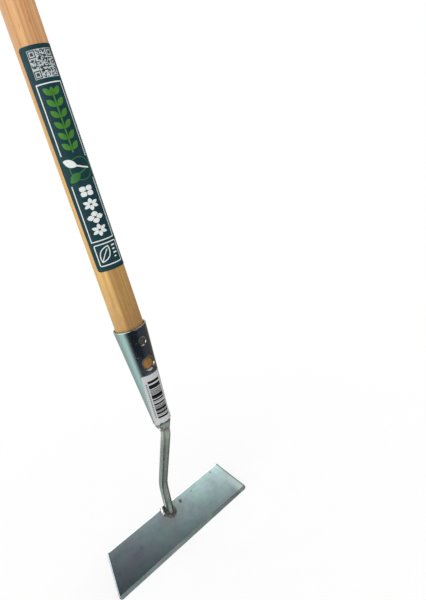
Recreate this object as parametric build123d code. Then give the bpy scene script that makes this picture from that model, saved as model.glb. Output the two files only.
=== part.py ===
from build123d import *
from math import atan, cos, radians, sin
import os

# A long-handled garden hoe: a flat steel blade on a bent round neck, a conical sheet socket,
# a wooden shaft, and a wooden T-grip that crosses the shaft's top off its own middle.
#
# Frame, in mm: +Z up along the shaft, X along the blade's width. -Y is the front, which the
# blade's upper face, the label and the sticker look to. The cutting edge stands on Z = 0, and
# the origin is under the middle of the T-grip, so the shaft's axis is at Y = SHAFT_Y.
# Angles round the shaft are from the front, -Y, towards +X.

os.makedirs("parts", exist_ok=True)

# Overall
OVERALL_HEIGHT = 1872.0
SHAFT_Y = -70.0

# Blade: a flat plate that widens towards a bevelled cutting edge
CUT_WIDTH = 198.0
BACK_WIDTH = 168.0
BLADE_DEPTH = 47.0
BLADE_THICKNESS = 2.0
BLADE_SLOPE = 53.0
BLADE_BACK_OFFSET = 58.2
BEVEL_DEPTH = 4.5
EDGE_THICKNESS = 0.4
CUT_CORNER_RADIUS = 3.2
BACK_CORNER_RADIUS = 2.0
BLADE_EDGE_ROUNDING = 1.2

# Socket: a cone of sheet steel, closed down onto the neck
RIM_Z = 277.0
RIM_RADIUS = 16.2
SOCKET_LENGTH = 113.0
SOCKET_TAPER = 0.067
SHEET = 1.6
RIM_ROUNDING = 0.5
NOSE_DEPTH = 103.0
NOSE_RADIUS = 6.6
WINDOW_DEPTH = 38.0
WINDOW_DIAMETER = 11.0
WINDOW_MOUTH_DIAMETER = 14.4

# Neck: a round rod with two bends, each (offset behind the shaft's axis, depth below the rim)
ROD_RADIUS = 5.0
ROD_TOP = (0.0, 102.0)
UPPER_BEND = (0.0, 119.5)
LOWER_BEND = (47.0, 203.5)
ROD_FOOT = (56.0, 253.6)
UPPER_BEND_RADIUS = 24.0
LOWER_BEND_RADIUS = 60.0

# Welds
FOOT_WELD_LEG = 2.4
FOOT_WELD_TAPER = 38.0
FOOT_WELD_OVERHANG = 0.8
NOSE_WELD_LEG = 2.6

# Shaft: a cone in the socket, straight above it, necked under the grip, and a through tenon
SHAFT_RADIUS = 14.0
SHAFT_TIP_DEPTH = 100.0
EASED_FROM_HEIGHT, EASED_TO_DEPTH = 3.0, 12.0
NECKED_RADIUS = 11.6
NECKING_LENGTH = 84.0
TENON_RADIUS = 8.5
WEDGE_DEPTH = 20.0
WEDGE_THICKNESS = 3.0
WEDGE_TIP_THICKNESS = 0.8

# T-grip: a turned bar with a blunt front end and a tapered rear end
GRIP_LENGTH = 300.0
GRIP_RADIUS = 14.7
BLUNT_END_RADIUS = 13.7
TAPERED_END_RADIUS = 8.6
BLUNT_END_ROUNDING = 4.5
TAPERED_END_ROUNDING = 6.0

# Countersunk screw through the socket into the shaft
SCREW_DEPTH = 14.2
SCREW_HOLE_DIAMETER = 5.6
SCREW_MOUTH_DIAMETER = 8.8
SCREW_HEAD_RADIUS = 3.5
SCREW_SHANK_RADIUS = 1.75
SCREW_LENGTH = 20.0
SCREW_POINT = 4.0
SLOT_WIDTH = 0.9
SLOT_DEPTH = 1.1
SLOT_LENGTH = 4.2

# Paper: the label round the shaft and the sticker on the socket
LABEL_FOOT_HEIGHT = 60.0
LABEL_LENGTH = 190.0
LABEL_START, LABEL_END = -77.0, 206.0
LABEL_THICKNESS = 0.15
STICKER_TOP_DEPTH, STICKER_BOTTOM_DEPTH = 49.5, 102.5
STICKER_START, STICKER_END = -60.0, 80.0
STICKER_THICKNESS = 0.12

GRIP_Z = OVERALL_HEIGHT - GRIP_RADIUS
SHAFT_PLACE = Pos(0, SHAFT_Y, 0)


def outer_radius(depth):
    """The socket's outer radius at a depth below its rim."""
    return RIM_RADIUS - SOCKET_TAPER * depth


def inner_radius(depth):
    """The socket's inner radius, and so the radius of the shaft's cone."""
    return outer_radius(depth) - SHEET


def outline(*points):
    """A flat face in the XZ half plane from (radius, height) points joined by straight lines."""
    return make_face(Polyline(*[(radius, 0, height) for radius, height in points], close=True))


def turned(face, start=0.0, turn=360.0):
    """Revolve a face of the XZ half plane about the shaft's axis, from one angle round it."""
    return SHAFT_PLACE * Rot(0, 0, start - 90) * revolve(face, Axis.Z, turn)


def blade_face():
    """The blade's upper face: local X is the width, and local Y climbs from edge to back."""
    slope = radians(BLADE_SLOPE)
    edge_y = SHAFT_Y + BLADE_BACK_OFFSET - BLADE_DEPTH * cos(slope)
    edge_z = BLADE_THICKNESS * cos(slope)
    return Plane(origin=(0, edge_y, edge_z), x_dir=(1, 0, 0), z_dir=(0, -sin(slope), cos(slope)))


def blade():
    """Trapezoid plate, rounded along its upper edges and ground to a thin cutting edge."""
    half_cut, half_back = CUT_WIDTH / 2, BACK_WIDTH / 2
    shape = make_face(Polyline(
        (-half_cut, 0), (half_cut, 0), (half_back, BLADE_DEPTH), (-half_back, BLADE_DEPTH), close=True,
    ))
    corners = shape.vertices().sort_by(Axis.Y)
    shape = fillet(corners[:2], CUT_CORNER_RADIUS)
    shape = fillet(shape.vertices().sort_by(Axis.Y)[-2:], BACK_CORNER_RADIUS)
    plate = extrude(shape, -BLADE_THICKNESS)
    plate = fillet(plate.faces().sort_by(Axis.Z)[-1].edges(), BLADE_EDGE_ROUNDING)
    edge = EDGE_THICKNESS - BLADE_THICKNESS
    ground_away = make_face(Polyline(
        (0, 0, edge), (0, BEVEL_DEPTH, 0), (0, BEVEL_DEPTH, 1), (0, -1, 1), (0, -1, edge), close=True,
    ))
    plate -= extrude(ground_away, CUT_WIDTH, dir=(1, 0, 0), both=True)
    return blade_face() * plate


def under_blade_face():
    """Everything below the plane of the blade's upper face, near the neck's foot."""
    size = 4 * BLADE_DEPTH
    return blade_face() * Pos(0, 0, -size / 2) * Box(size, size, size)


def rod_point(bend):
    """A point of the neck's centreline from its offset behind the axis and depth below the rim."""
    offset, depth = bend
    return (0, SHAFT_Y + offset, RIM_Z - depth)


def neck_rod():
    """Round rod: down out of the socket, back, then down again onto the blade's upper face."""
    points = [rod_point(bend) for bend in (ROD_TOP, UPPER_BEND, LOWER_BEND, ROD_FOOT)]
    path = FilletPolyline(*points, radius=[UPPER_BEND_RADIUS, LOWER_BEND_RADIUS])
    section = Plane(origin=points[0], z_dir=(0, 0, -1)) * Circle(ROD_RADIUS)
    return sweep(section, path=path) - under_blade_face()


def foot_position():
    """Where the neck's last run meets the blade's upper face, along the face's local Y."""
    _, bend_y, bend_z = rod_point(LOWER_BEND)
    _, foot_y, foot_z = rod_point(ROD_FOOT)
    face = blade_face()
    bend = face.to_local_coords(Vector(0, bend_y, bend_z))
    foot = face.to_local_coords(Vector(0, foot_y, foot_z))
    share = bend.Z / (bend.Z - foot.Z)
    run = foot - bend
    return bend.Y + share * run.Y, run.length / abs(run.Z)


def blade_weld(rod):
    """Fillet weld round the neck's foot, running just over the blade's back edge."""
    middle, stretch = foot_position()
    ring = Ellipse(ROD_RADIUS + FOOT_WELD_LEG, ROD_RADIUS * stretch + FOOT_WELD_LEG)
    bead = Pos(0, middle, 0) * extrude(ring, FOOT_WELD_LEG, taper=FOOT_WELD_TAPER)
    beyond = Pos(0, 1.5 * BLADE_DEPTH + FOOT_WELD_OVERHANG, 0) * Box(*[BLADE_DEPTH] * 3)
    return blade_face() * (bead - beyond) - rod


def socket_blank():
    """The socket's outer shape as a solid, closed by a rounded nose."""
    rim = (RIM_RADIUS, 0, RIM_Z)
    shoulder = (outer_radius(NOSE_DEPTH), 0, RIM_Z - NOSE_DEPTH)
    nose = (NOSE_RADIUS, 0, RIM_Z - SOCKET_LENGTH)
    side = Line(rim, shoulder)
    curve = TangentArc(shoulder, nose, tangent=(-SOCKET_TAPER, 0, -1))
    closing = Polyline(nose, (0, 0, RIM_Z - SOCKET_LENGTH), (0, 0, RIM_Z), rim)
    return turned(make_face(side + curve + closing))


def socket_cavity():
    """The socket's hollow: the shaft's cone above, and the neck's seat in the nose."""
    shoulder_depth = SHAFT_TIP_DEPTH + SHEET
    seat_depth = shoulder_depth + inner_radius(shoulder_depth) - ROD_RADIUS
    below = RIM_Z - SOCKET_LENGTH - 1
    return turned(outline(
        (0, RIM_Z + 1), (inner_radius(-1), RIM_Z + 1),
        (inner_radius(shoulder_depth), RIM_Z - shoulder_depth),
        (ROD_RADIUS, RIM_Z - seat_depth), (ROD_RADIUS, below), (0, below),
    ))


def front_surface(depth):
    """A plane on the socket's front surface, facing out, at a depth below the rim."""
    lean = atan(SOCKET_TAPER)
    origin = (0, SHAFT_Y - outer_radius(depth), RIM_Z - depth)
    return Plane(origin=origin, x_dir=(1, 0, 0), z_dir=(0, -cos(lean), -sin(lean)))


def bevelled_hole(depth, diameter, mouth_diameter):
    """A hole in the socket's front with a 45 degree bevel, as a solid to take away."""
    bevel = (mouth_diameter - diameter) / 2
    opening = Pos(0, 0, (1 - bevel) / 2) * Cone(diameter / 2, mouth_diameter / 2 + 1, bevel + 1)
    return front_surface(depth) * (Cylinder(diameter / 2, RIM_RADIUS) + opening)


def socket(blank):
    """Conical sheet socket with a bevelled window onto the shaft and a countersunk screw hole."""
    shell = blank - socket_cavity()
    rim_edges = shell.edges().filter_by(GeomType.CIRCLE).group_by(Axis.Z)[-1]
    shell = fillet(rim_edges, RIM_ROUNDING)
    shell -= bevelled_hole(WINDOW_DEPTH, WINDOW_DIAMETER, WINDOW_MOUTH_DIAMETER)
    return shell - bevelled_hole(SCREW_DEPTH, SCREW_HOLE_DIAMETER, SCREW_MOUTH_DIAMETER)


def socket_weld(rod):
    """Weld ring where the rod leaves the socket's nose."""
    nose_z = RIM_Z - SOCKET_LENGTH
    ring = outline((0, nose_z), (NOSE_RADIUS, nose_z), (NOSE_RADIUS - 0.3, nose_z - NOSE_WELD_LEG / 3),
                   (ROD_RADIUS, nose_z - NOSE_WELD_LEG), (0, nose_z - NOSE_WELD_LEG))
    return turned(ring) - rod


def screw_blank():
    """Countersunk wood screw without its slots, its head seated on the bevel of its hole."""
    cone_height = SCREW_HEAD_RADIUS - SCREW_SHANK_RADIUS
    head = Pos(0, 0, -cone_height / 2) * Cone(SCREW_SHANK_RADIUS, SCREW_HEAD_RADIUS, cone_height)
    straight = SCREW_LENGTH - SCREW_POINT - cone_height
    shank = Pos(0, 0, -cone_height - straight / 2) * Cylinder(SCREW_SHANK_RADIUS, straight)
    point = Pos(0, 0, -SCREW_LENGTH + SCREW_POINT / 2) * Cone(0.2, SCREW_SHANK_RADIUS, SCREW_POINT)
    return screw_place() * (head + shank + point)


def screw_place():
    """The middle of the screw's head, facing out."""
    head_drop = SCREW_MOUTH_DIAMETER / 2 - SCREW_HEAD_RADIUS
    return front_surface(SCREW_DEPTH) * Pos(0, 0, -head_drop)


def socket_screw(whole_screw):
    """The screw with its cross slots."""
    slots = Box(SLOT_LENGTH, SLOT_WIDTH, 2 * SLOT_DEPTH) + Box(SLOT_WIDTH, SLOT_LENGTH, 2 * SLOT_DEPTH)
    return whole_screw - screw_place() * slots


def grip_blank():
    """The T-grip's turned shape as a solid: fullest at the shaft, tapering to the rear."""
    half = GRIP_LENGTH / 2
    curve = Spline(
        (BLUNT_END_RADIUS, 0, -half), (GRIP_RADIUS - 0.1, 0, SHAFT_Y), (GRIP_RADIUS, 0, 0.0),
        (GRIP_RADIUS - 0.6, 0, 0.27 * half), (GRIP_RADIUS - 1.9, 0, 0.56 * half),
        (GRIP_RADIUS - 3.8, 0, 0.8 * half), (TAPERED_END_RADIUS, 0, half),
    )
    closing = Polyline(
        (TAPERED_END_RADIUS, 0, half), (0, 0, half), (0, 0, -half), (BLUNT_END_RADIUS, 0, -half),
    )
    bar = revolve(make_face(curve + closing), Axis.Z)
    rims = bar.edges().filter_by(GeomType.CIRCLE).sort_by(Axis.Z)
    bar = fillet(rims[-1], TAPERED_END_ROUNDING)
    rims = bar.edges().filter_by(GeomType.CIRCLE).sort_by(Axis.Z)
    bar = fillet(rims[0], BLUNT_END_ROUNDING)
    return Pos(0, 0, GRIP_Z) * Rot(-90, 0, 0) * bar


def tenon(bar):
    """The shaft's tenon, trimmed flush with the T-grip's surface."""
    return (Pos(0, SHAFT_Y, GRIP_Z) * Cylinder(TENON_RADIUS, 3 * GRIP_RADIUS)) & bar


def tenon_wedge(bar):
    """Hardwood wedge across the tenon, driven in from the top and trimmed flush."""
    top, tip = OVERALL_HEIGHT, OVERALL_HEIGHT - WEDGE_DEPTH
    side = make_face(Polyline(
        (0, -WEDGE_THICKNESS / 2, top), (0, WEDGE_THICKNESS / 2, top),
        (0, WEDGE_TIP_THICKNESS / 2, tip), (0, -WEDGE_TIP_THICKNESS / 2, tip), close=True,
    ))
    slab = SHAFT_PLACE * extrude(side, 2 * TENON_RADIUS, dir=(1, 0, 0), both=True)
    return slab & tenon(bar)


def shaft(bar, wedge, screw):
    """Straight shaft, eased into its cone at the socket's rim, with its tenon through the T-grip."""
    tip_z = RIM_Z - SHAFT_TIP_DEPTH
    eased = (inner_radius(EASED_TO_DEPTH), 0, RIM_Z - EASED_TO_DEPTH)
    straight_from = RIM_Z + EASED_FROM_HEIGHT
    neck_top = GRIP_Z - GRIP_RADIUS
    neck_bottom = neck_top - NECKING_LENGTH
    sides = Polyline(
        (NECKED_RADIUS, 0, GRIP_Z), (0, 0, GRIP_Z), (0, 0, tip_z), (inner_radius(SHAFT_TIP_DEPTH), 0, tip_z),
        eased, (SHAFT_RADIUS, 0, straight_from), (SHAFT_RADIUS, 0, neck_bottom),
    )
    necking = Spline((SHAFT_RADIUS, 0, neck_bottom), (NECKED_RADIUS, 0, neck_top),
                     tangents=((0, 0, 1), (-0.1, 0, 1)))
    stub = Line((NECKED_RADIUS, 0, neck_top), (NECKED_RADIUS, 0, GRIP_Z))
    wood = turned(make_face(sides + necking + stub))
    return wood - bar + tenon(bar) - wedge - screw


def t_grip(bar):
    """T-grip with the hole for the shaft's tenon."""
    return bar - tenon(bar)


def handle_label():
    """Paper label wrapped most of the way round the shaft."""
    foot, head = RIM_Z + LABEL_FOOT_HEIGHT, RIM_Z + LABEL_FOOT_HEIGHT + LABEL_LENGTH
    skin = SHAFT_RADIUS + LABEL_THICKNESS
    band = outline((SHAFT_RADIUS, foot), (skin, foot), (skin, head), (SHAFT_RADIUS, head))
    return turned(band, LABEL_START, LABEL_END - LABEL_START)


def barcode_sticker():
    """Paper sticker on the front of the socket's cone."""
    top, bottom = STICKER_TOP_DEPTH, STICKER_BOTTOM_DEPTH
    band = outline(
        (outer_radius(bottom), RIM_Z - bottom), (outer_radius(bottom) + STICKER_THICKNESS, RIM_Z - bottom),
        (outer_radius(top) + STICKER_THICKNESS, RIM_Z - top), (outer_radius(top), RIM_Z - top),
    )
    return turned(band, STICKER_START, STICKER_END - STICKER_START)


def build():
    """Every sub-part by its node's name."""
    rod = neck_rod()
    blank = socket_blank()
    bar = grip_blank()
    wedge = tenon_wedge(bar)
    whole_screw = screw_blank()
    return {
        "blade": blade(),
        "neck_rod": rod,
        "blade_weld": blade_weld(rod),
        "socket": socket(blank),
        "socket_weld": socket_weld(rod),
        "socket_screw": socket_screw(whole_screw),
        "shaft": shaft(bar, wedge, whole_screw),
        "t_grip": t_grip(bar),
        "tenon_wedge": wedge,
        "handle_label": handle_label(),
        "barcode_sticker": barcode_sticker(),
    }


for node, shape in build().items():
    export_step(shape, f"parts/{node}.step")
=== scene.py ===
import random
from math import atan2, cos, degrees, pi, radians, sin, sqrt, tau

import bmesh
import bpy
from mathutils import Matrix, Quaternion, Vector, noise


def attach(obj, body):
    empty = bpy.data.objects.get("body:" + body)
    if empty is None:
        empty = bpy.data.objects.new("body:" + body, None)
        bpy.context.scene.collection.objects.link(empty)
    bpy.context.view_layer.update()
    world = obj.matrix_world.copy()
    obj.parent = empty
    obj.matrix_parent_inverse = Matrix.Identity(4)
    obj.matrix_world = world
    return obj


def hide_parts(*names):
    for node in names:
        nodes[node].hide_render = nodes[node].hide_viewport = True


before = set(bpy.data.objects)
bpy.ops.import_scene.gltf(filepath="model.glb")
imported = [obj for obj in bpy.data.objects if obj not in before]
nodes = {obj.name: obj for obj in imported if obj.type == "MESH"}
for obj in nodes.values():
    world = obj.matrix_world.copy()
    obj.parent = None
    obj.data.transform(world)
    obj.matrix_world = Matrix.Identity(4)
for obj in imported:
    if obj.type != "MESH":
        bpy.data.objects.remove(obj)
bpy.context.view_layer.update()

scene = bpy.context.scene

# Lengths are in millimetres, in the row frame, until a mesh is made. Shaders read metres. Angles
# round the shaft are in degrees from the front, -Y, towards +X. Depths are below the socket's rim.
MM = 0.001
SHAFT_Y, SHAFT_RADIUS = -70.0, 14.0
GRIP_Z, GRIP_HALF = 1857.3, 150.0
RIM_Z, RIM_RADIUS, TAPER, SHEET = 277.0, 16.2, 0.067, 1.6
NOSE_DEPTH, SOCKET_LENGTH, NOSE_RADIUS = 103.0, 113.0, 6.6
WINDOW_DEPTH = 38.0
ROD_RADIUS = 5.0
BLADE_SLOPE, BLADE_DEPTH = radians(53.0), 47.0
BLADE_EDGE = Vector((0.0, -40.085, 1.204))
BLADE_ALONG = Vector((1, 0, 0))
BLADE_UP = Vector((0, cos(BLADE_SLOPE), sin(BLADE_SLOPE)))
BLADE_OUT = Vector((0, -sin(BLADE_SLOPE), cos(BLADE_SLOPE)))
# How far each side of the blade comes in for a millimetre up
SIDE_SLANT = 0.319
# The rod's foot on the blade: its middle, its oval's length over its width, and its lean
FOOT_UP, FOOT_STRETCH, FOOT_LEAN = 40.3, 1.365, 0.928


def blend(a, b, share):
    return a + (b - a) * share


def smooth(low, high, value):
    """0 below low, 1 above high, and a smooth step between them."""
    share = min(max((value - low) / (high - low), 0.0), 1.0)
    return share * share * (3 - 2 * share)


def ripple(x, y, z):
    """Smooth noise from -1 to 1."""
    return noise.noise(Vector((x, y, z)))


def around(angle, radius, z):
    """A point at an angle round the shaft."""
    turn = radians(angle)
    return Vector((radius * sin(turn), SHAFT_Y - radius * cos(turn), z))


def on_blade(along, up, out=0.0):
    """A point on the blade's upper face."""
    return BLADE_EDGE + BLADE_ALONG * along + BLADE_UP * up + BLADE_OUT * out


# ---------------------------------------------------------------- finishes


class Nodes:
    """A node tree, with short calls for the nodes that are used most."""

    def __init__(self, tree):
        self.tree = tree

    def add(self, kind, inputs=(), **settings):
        made = self.tree.nodes.new("ShaderNode" + kind)
        for name, value in settings.items():
            setattr(made, name, value)
        for socket, value in dict(inputs).items():
            self.put(made.inputs[socket], value)
        return made

    def put(self, socket, value):
        if isinstance(value, bpy.types.NodeSocket):
            self.tree.links.new(value, socket)
        else:
            socket.default_value = value

    def calc(self, operation, a, b=0.0, clamp=False):
        made = self.add("Math", {0: a, 1: b}, operation=operation, use_clamp=clamp)
        return made.outputs[0]

    def plus(self, a, b):
        return self.calc("ADD", a, b)

    def minus(self, a, b):
        return self.calc("SUBTRACT", a, b)

    def times(self, first, *others):
        for other in others:
            first = self.calc("MULTIPLY", first, other)
        return first

    def span(self, value, low, high, to_low=0.0, to_high=1.0, kind="SMOOTHSTEP"):
        return self.add("MapRange", {0: value, 1: low, 2: high, 3: to_low, 4: to_high},
                        interpolation_type=kind, clamp=True).outputs[0]

    def fall(self, value, low, high):
        """1 below low, 0 above high, and a smooth step between them."""
        return self.span(value, low, high, 1.0, 0.0)

    def ramp(self, value, *stops):
        made = self.add("ValToRGB", {0: value})
        points = made.color_ramp.elements
        while len(points) < len(stops):
            points.new(0.5)
        for point, (position, colour) in zip(points, stops):
            point.position = position
            point.color = (*colour, 1.0)
        return made.outputs[0]


class Finish(Nodes):
    """A material, coloured step by step."""

    def __init__(self, name, **constants):
        self.material = bpy.data.materials.new(name)
        self.material.use_nodes = True
        super().__init__(self.material.node_tree)
        self.shader = self.tree.nodes["Principled BSDF"]
        self.set(**constants)
        self.colour = None
        self.place = self.add("TexCoord").outputs["Object"]

    def set(self, **inputs):
        for socket, value in inputs.items():
            self.put(self.shader.inputs[socket.replace("_", " ")], value)
        return self.material

    def vector(self, operation, a, b):
        return self.add("VectorMath", {0: a, 1: b}, operation=operation).outputs[0]

    def stretch(self, x, y, z, source=None):
        return self.vector("MULTIPLY", source or self.place, (x, y, z))

    def parts(self, source=None):
        return self.add("SeparateXYZ", {0: source or self.place}).outputs

    def join(self, x, y, z):
        return self.add("CombineXYZ", {0: x, 1: y, 2: z}).outputs[0]

    def noise(self, source, scale=1.0, detail=3.0, rough=0.5, bend=0.0):
        return self.add("TexNoise", {
            "Vector": source, "Scale": scale, "Detail": detail, "Roughness": rough,
            "Distortion": bend}).outputs[0]

    def cells(self, source, scale):
        return self.add("TexVoronoi", {"Vector": source, "Scale": scale}).outputs

    def mix(self, share, a, b, blend_type="MIX"):
        def full(colour):
            return (*colour, 1.0) if isinstance(colour, tuple) else colour
        return self.add("Mix", {0: share, 6: full(a), 7: full(b)},
                        data_type="RGBA", blend_type=blend_type).outputs[2]

    def over(self, mask, other):
        """Lay another colour over the colour so far, by a mask."""
        self.colour = self.mix(mask, self.colour, other)

    def cover(self, mask, amount, other):
        self.over(self.times(mask, amount), other)

    def tint(self, colour, factor, share=1.0):
        """colour times another colour."""
        return self.mix(share, colour, factor, blend_type="MULTIPLY")

    def shade(self, value, low, high, dark, light):
        """Dim by a factor that goes from dark to light as value goes from low to high."""
        grey = self.span(value, low, high, dark, light, kind="LINEAR")
        self.colour = self.tint(self.colour, self.join(grey, grey, grey))

    def done(self, rough, height, depth_mm, strength=1.0):
        """The material, with its colour, roughness and bump."""
        bump = {"Height": height, "Distance": depth_mm * MM, "Strength": strength}
        return self.set(Base_Color=self.colour, Roughness=rough,
                        Normal=self.add("Bump", bump).outputs[0])

    def distance(self, centre, source=None):
        """Distance in metres from a point given in millimetres."""
        offset = self.vector("SUBTRACT", source or self.place, tuple(Vector(centre) * MM))
        return self.add("VectorMath", {0: offset}, operation="LENGTH").outputs[1]

    def near(self, centre, radius):
        """1 at a point, falling to 0 at a radius from it. Both in millimetres."""
        return self.fall(self.distance(centre), 0.0, radius * MM)


def wood_finish(name, along, light, middle, dark, turn=0.4, seed=0.0):
    """Sanded timber: growth rings, fibres, broad stripes and short flecks along one axis."""
    f = Finish(name, IOR=1.46)
    x, y, z = f.parts()
    a, b, length = (x, y, z) if along == "Z" else (x, z, y)
    grain = f.join(f.plus(a, seed), b, length)
    drift = f.noise(f.stretch(14, 14, 1.6, grain), detail=2.0)
    across = f.plus(f.times(a, cos(turn)), f.times(b, sin(turn)))
    rings_per_metre, sway = 300.0, 9.0
    ring = f.calc("FRACT", f.plus(f.times(across, rings_per_metre), f.times(drift, sway)))
    late = f.times(f.span(ring, 0.35, 0.92), f.fall(ring, 0.94, 1.0))
    stripe = f.noise(f.stretch(150, 150, 2.2, grain), rough=0.6, bend=0.3)
    fibre = f.noise(f.stretch(1500, 1500, 26, grain), rough=0.65)
    fleck = f.noise(f.stretch(900, 900, 95, grain), detail=2.0)
    patch = f.noise(f.stretch(20, 20, 5, grain), detail=2.0)
    f.colour = f.ramp(stripe, (0.30, dark), (0.47, middle), (0.68, light))
    f.shade(late, 0.0, 1.0, 1.04, 0.86)
    f.shade(fibre, 0.3, 0.7, 0.90, 1.08)
    f.shade(patch, 0.3, 0.7, 0.93, 1.06)
    pores = f.span(fleck, 0.62, 0.74)
    f.cover(pores, 0.45, tuple(c * 0.45 for c in dark))
    rough = f.plus(f.span(fibre, 0.3, 0.7, 0.44, 0.60), f.times(late, -0.06))
    height = f.minus(f.plus(fibre, f.times(late, 0.4)), f.times(pores, 0.6))
    return f, rough, height


def handle_wood():
    """The shaft: pink above, yellow and soiled towards the socket, with painted shade inside it
    and a painted shadow round the window.
    """
    f, rough, height = wood_finish(
        "handle_wood_grain", "Z", (0.71, 0.41, 0.200), (0.64, 0.33, 0.146), (0.52, 0.245, 0.102))
    yellow_tint, soil, shadow = (1.06, 1.29, 1.02), (0.31, 0.165, 0.07), (0.10, 0.07, 0.035)
    grime = f.noise(f.stretch(60, 60, 30), detail=4.0)
    x, y, z = f.parts()
    yellow = f.tint(f.colour, yellow_tint)
    wander = f.times(f.minus(f.noise(f.stretch(30, 30, 5)), 0.5), 0.010)
    heart = f.times(f.span(f.plus(x, wander), -0.0115, -0.0080),
                    f.span(y, -0.072, -0.060, 1.0, 0.3))
    heart_tint = f.mix(f.fall(z, 0.27, 0.33), (0.60, 0.55, 0.46), (0.50, 0.44, 0.36))
    brown = f.mix(heart, yellow, f.tint(yellow, heart_tint))
    f.over(f.fall(z, 0.36, 0.60), brown)
    soiled = f.times(f.fall(z, 0.272, 0.345), f.span(grime, 0.42, 0.66))
    f.cover(soiled, 0.5, soil)
    # Painted shade: the wood inside the socket is tinted darker, and a painted shadow darkens it
    # in a ring round the window's edge, leaving the window's middle lit.
    inside = f.fall(z, 0.262, 0.272)
    f.over(inside, f.tint(f.colour, (0.82, 0.70, 0.50)))
    window_middle = around(-2.0, 12.0, RIM_Z - WINDOW_DEPTH)
    lit_middle = f.span(f.near(window_middle, 10.0), 0.44, 0.60)
    ring = f.times(inside, f.minus(1.0, lit_middle))
    f.cover(ring, 0.85, shadow)
    return f.done(rough, height, 0.05, 0.8)


def grip_wood():
    """The T-grip: end grain on its tips, and worn patches."""
    f, rough, height = wood_finish(
        "grip_wood_grain", "Y", (0.74, 0.47, 0.26), (0.62, 0.36, 0.18), (0.46, 0.25, 0.12),
        turn=1.1, seed=0.31)
    x, y, z = f.parts()
    tip = f.span(f.calc("ABSOLUTE", y), (GRIP_HALF - 4.0) * MM, GRIP_HALF * MM)
    offset = f.join(x, 0.0, f.minus(z, GRIP_Z * MM))
    rings = f.add("TexWave",
                  {"Vector": offset, "Scale": 170.0, "Distortion": 2.5, "Detail": 2.0},
                  wave_type="RINGS", rings_direction="Y").outputs[1]
    end_grain = f.ramp(rings, (0.2, (0.36, 0.20, 0.10)), (0.8, (0.52, 0.31, 0.16)))
    f.cover(tip, 0.8, end_grain)
    worn = f.noise(f.stretch(45, 25, 45), detail=4.0)
    f.shade(worn, 0.35, 0.68, 0.88, 1.05)
    return f.done(rough, height, 0.05, 0.8)


def wedge_wood():
    f, rough, height = wood_finish(
        "wedge_wood_grain", "Z", (0.50, 0.31, 0.16), (0.38, 0.22, 0.11), (0.26, 0.14, 0.07),
        seed=0.7)
    return f.done(rough, height, 0.08)


def zinc_finish():
    """Bright zinc plate with clouds, scratches and rubs: bluer in front and greyer towards the
    nose.
    Faces that turn upwards are dark, partly as the rim's raw edge and partly as painted shade, and
    a painted shadow darkens the nose just below the sticker."""
    f = Finish("bright_zinc", Metallic=1.0)
    blue, warm = (0.50, 0.62, 0.78), (0.68, 0.67, 0.60)
    pale, dull = (0.62, 0.70, 0.68), (0.58, 0.67, 0.60)
    sticker_shadow, edge_and_shade_dark, brown = (0.13, 0.17, 0.18), (0.15, 0.145, 0.12), (0.20, 0.17, 0.13)
    x, y, z = f.parts()
    cloud = f.noise(f.place, 38.0, detail=5.0, rough=0.6)
    hue = f.noise(f.place, 15.0, detail=2.0)
    scratch = f.noise(f.stretch(2600, 2600, 60), detail=2.0)
    rub = f.noise(f.stretch(300, 300, 120), detail=5.0, rough=0.7)
    speck = f.times(f.fall(f.cells(f.place, 900.0)[0], 0.05, 0.16),
                    f.span(f.noise(f.place, 120.0), 0.56, 0.66))
    f.colour = f.ramp(hue, (0.32, (0.44, 0.73, 0.71)), (0.68, (0.54, 0.75, 0.70)))
    front = f.fall(y, -0.080, -0.070)
    f.over(f.times(f.span(x, -0.0125, -0.0080), front), blue)
    f.over(f.times(f.span(x, -0.0020, 0.0080), front), warm)
    f.over(f.span(z, 0.176, 0.215, 0.45, 0.0), pale)
    f.shade(cloud, 0.3, 0.7, 0.92, 1.05)
    nose = f.fall(z, (RIM_Z - 106.0) * MM, (RIM_Z - 98.0) * MM)
    f.over(nose, dull)
    # Painted shadow: a dark band on the nose just below the sticker's foot, where the creases are,
    # broken up by noise.
    crease = f.times(f.span(z, 0.1695, 0.1720), f.fall(z, 0.1755, 0.1780))
    crease = f.times(crease, f.span(f.noise(f.place, 260.0), 0.40, 0.50, 0.15, 0.9))
    f.over(crease, sticker_shadow)
    # Faces that turn upwards are darkened: the rim's raw edge, and painted shade on the lower
    # sides of the window and the screw hole.
    facing_up = f.parts(f.add("NewGeometry").outputs["Normal"])[2]
    edge_and_shade = f.span(facing_up, 0.30, 0.62)
    f.cover(edge_and_shade, 0.9, edge_and_shade_dark)
    f.cover(speck, 0.35, brown)
    rough = f.plus(f.span(cloud, 0.3, 0.7, 0.12, 0.18), f.span(rub, 0.60, 0.74, 0.0, 0.08))
    rough = f.plus(rough, f.span(scratch, 0.60, 0.72, 0.0, 0.05))
    rough = f.plus(rough, f.times(f.plus(edge_and_shade, nose), 0.12))
    height = f.plus(f.times(scratch, 0.25), cloud)
    return f.done(rough, height, 0.008, 0.4)


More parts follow.
